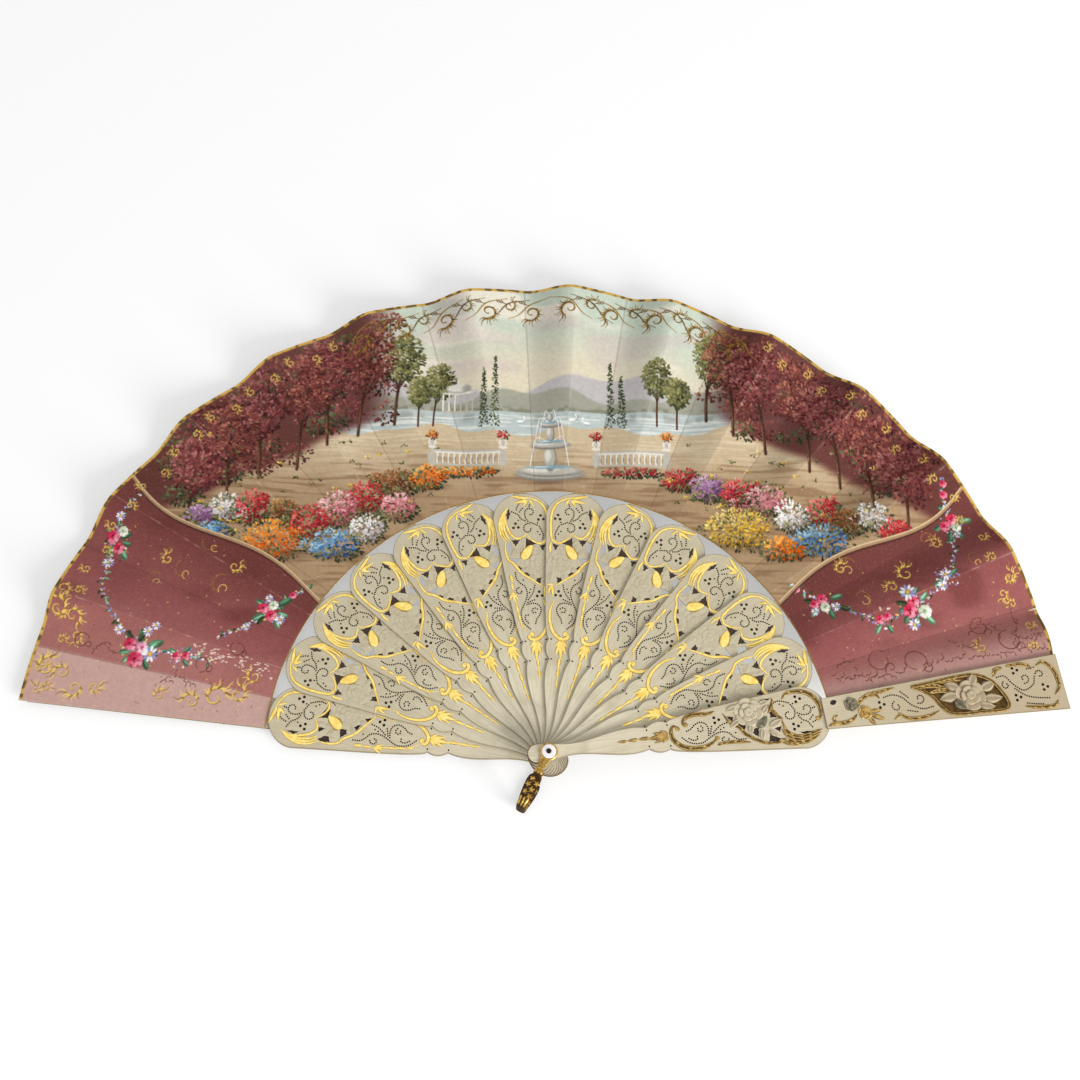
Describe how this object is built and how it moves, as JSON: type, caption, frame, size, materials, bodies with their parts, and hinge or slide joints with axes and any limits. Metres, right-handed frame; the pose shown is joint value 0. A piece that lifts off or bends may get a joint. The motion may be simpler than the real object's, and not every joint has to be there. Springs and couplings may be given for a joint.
{
  "type": "folding fan",
  "caption": "Open folding fan: pierced, scalloped bone sticks and carved guards on one rivet, a pleated painted paper leaf on their ribs, and a swinging gilt bail for a tassel.",
  "frame": {"origin": "on the rivet's axis, at the flat rear end of the rivet, which rests on the surface that the fan lies on", "axes": "+X to the front guard's side, across the open fan; +Y the way the fan opens, from the rivet to the middle of the leaf; +Z out of the painted front"},
  "size_m": [0.5273, 0.2941, 0.0218],
  "materials": {
    "bone": "polished cream bone, pierced and gilded",
    "leaf": "painted paper with gold rim",
    "pearl": "polished mother-of-pearl",
    "steel": "darkened steel rivet",
    "gilt_brass": "cast gilt brass, darkened in the hollows"
  },
  "bodies": {
    "back_guard": {"back_guard": "bone", "leaf_panel_00": "leaf", "rivet_pin": "steel", "rear_washer": "pearl", "front_washer": "pearl"},
    "stick_01": {"stick_01": "bone", "leaf_panel_01": "leaf", "leaf_fold_01": "leaf"},
    "stick_02": {"stick_02": "bone", "leaf_panel_02": "leaf", "leaf_fold_02": "leaf"},
    "stick_03": {"stick_03": "bone", "leaf_panel_03": "leaf", "leaf_fold_03": "leaf"},
    "stick_04": {"stick_04": "bone", "leaf_panel_04": "leaf", "leaf_fold_04": "leaf"},
    "stick_05": {"stick_05": "bone", "leaf_panel_05": "leaf", "leaf_fold_05": "leaf"},
    "stick_06": {"stick_06": "bone", "leaf_panel_06": "leaf", "leaf_fold_06": "leaf"},
    "stick_07": {"stick_07": "bone", "leaf_panel_07": "leaf", "leaf_fold_07": "leaf"},
    "stick_08": {"stick_08": "bone", "leaf_panel_08": "leaf", "leaf_fold_08": "leaf"},
    "stick_09": {"stick_09": "bone", "leaf_panel_09": "leaf", "leaf_fold_09": "leaf"},
    "stick_10": {"stick_10": "bone", "leaf_panel_10": "leaf", "leaf_fold_10": "leaf"},
    "stick_11": {"stick_11": "bone", "leaf_panel_11": "leaf", "leaf_fold_11": "leaf"},
    "stick_12": {"stick_12": "bone", "leaf_panel_12": "leaf", "leaf_fold_12": "leaf"},
    "front_guard": {"front_guard": "bone", "leaf_panel_13": "leaf", "leaf_fold_13": "leaf"},
    "bail": {"bail": "gilt_brass"}
  },
  "joints": [
    {"name": "fold_01", "type": "hinge", "parent": "back_guard", "child": "stick_01", "pos_m": [0, 0, 0], "axis": [0, 0, 1], "range_deg": [0, 12.5], "deforming": ["leaf_fold_01"]},
    {"name": "fold_02", "type": "hinge", "parent": "stick_01", "child": "stick_02", "pos_m": [0, 0, 0], "axis": [0, 0, 1], "range_deg": [0, 12.5], "deforming": ["leaf_fold_02"]},
    {"name": "fold_03", "type": "hinge", "parent": "stick_02", "child": "stick_03", "pos_m": [0, 0, 0], "axis": [0, 0, 1], "range_deg": [0, 12.5], "deforming": ["leaf_fold_03"]},
    {"name": "fold_04", "type": "hinge", "parent": "stick_03", "child": "stick_04", "pos_m": [0, 0, 0], "axis": [0, 0, 1], "range_deg": [0, 12.5], "deforming": ["leaf_fold_04"]},
    {"name": "fold_05", "type": "hinge", "parent": "stick_04", "child": "stick_05", "pos_m": [0, 0, 0], "axis": [0, 0, 1], "range_deg": [0, 12.5], "deforming": ["leaf_fold_05"]},
    {"name": "fold_06", "type": "hinge", "parent": "stick_05", "child": "stick_06", "pos_m": [0, 0, 0], "axis": [0, 0, 1], "range_deg": [0, 12.5], "deforming": ["leaf_fold_06"]},
    {"name": "fold_07", "type": "hinge", "parent": "stick_06", "child": "stick_07", "pos_m": [0, 0, 0], "axis": [0, 0, 1], "range_deg": [0, 12.5], "deforming": ["leaf_fold_07"]},
    {"name": "fold_08", "type": "hinge", "parent": "stick_07", "child": "stick_08", "pos_m": [0, 0, 0], "axis": [0, 0, 1], "range_deg": [0, 12.5], "deforming": ["leaf_fold_08"]},
    {"name": "fold_09", "type": "hinge", "parent": "stick_08", "child": "stick_09", "pos_m": [0, 0, 0], "axis": [0, 0, 1], "range_deg": [0, 12.5], "deforming": ["leaf_fold_09"]},
    {"name": "fold_10", "type": "hinge", "parent": "stick_09", "child": "stick_10", "pos_m": [0, 0, 0], "axis": [0, 0, 1], "range_deg": [0, 12.5], "deforming": ["leaf_fold_10"]},
    {"name": "fold_11", "type": "hinge", "parent": "stick_10", "child": "stick_11", "pos_m": [0, 0, 0], "axis": [0, 0, 1], "range_deg": [0, 12.5], "deforming": ["leaf_fold_11"]},
    {"name": "fold_12", "type": "hinge", "parent": "stick_11", "child": "stick_12", "pos_m": [0, 0, 0], "axis": [0, 0, 1], "range_deg": [0, 12.5], "deforming": ["leaf_fold_12"]},
    {"name": "fold_13", "type": "hinge", "parent": "stick_12", "child": "front_guard", "pos_m": [0, 0, 0], "axis": [0, 0, 1], "range_deg": [0, 12.5], "deforming": ["leaf_fold_13"]},
    {"name": "bail_swing", "type": "hinge", "parent": "back_guard", "child": "bail", "pos_m": [0, 0, 0], "axis": [0, 0, 1], "range_deg": [-45, 85]}
  ],
  "couplings": [
    {"joint": "fold_02", "follows": "fold_01", "ratio": 1},
    {"joint": "fold_03", "follows": "fold_01", "ratio": 1},
    {"joint": "fold_04", "follows": "fold_01", "ratio": 1},
    {"joint": "fold_05", "follows": "fold_01", "ratio": 1},
    {"joint": "fold_06", "follows": "fold_01", "ratio": 1},
    {"joint": "fold_07", "follows": "fold_01", "ratio": 1},
    {"joint": "fold_08", "follows": "fold_01", "ratio": 1},
    {"joint": "fold_09", "follows": "fold_01", "ratio": 1},
    {"joint": "fold_10", "follows": "fold_01", "ratio": 1},
    {"joint": "fold_11", "follows": "fold_01", "ratio": 1},
    {"joint": "fold_12", "follows": "fold_01", "ratio": 1},
    {"joint": "fold_13", "follows": "fold_01", "ratio": 1}
  ]
}
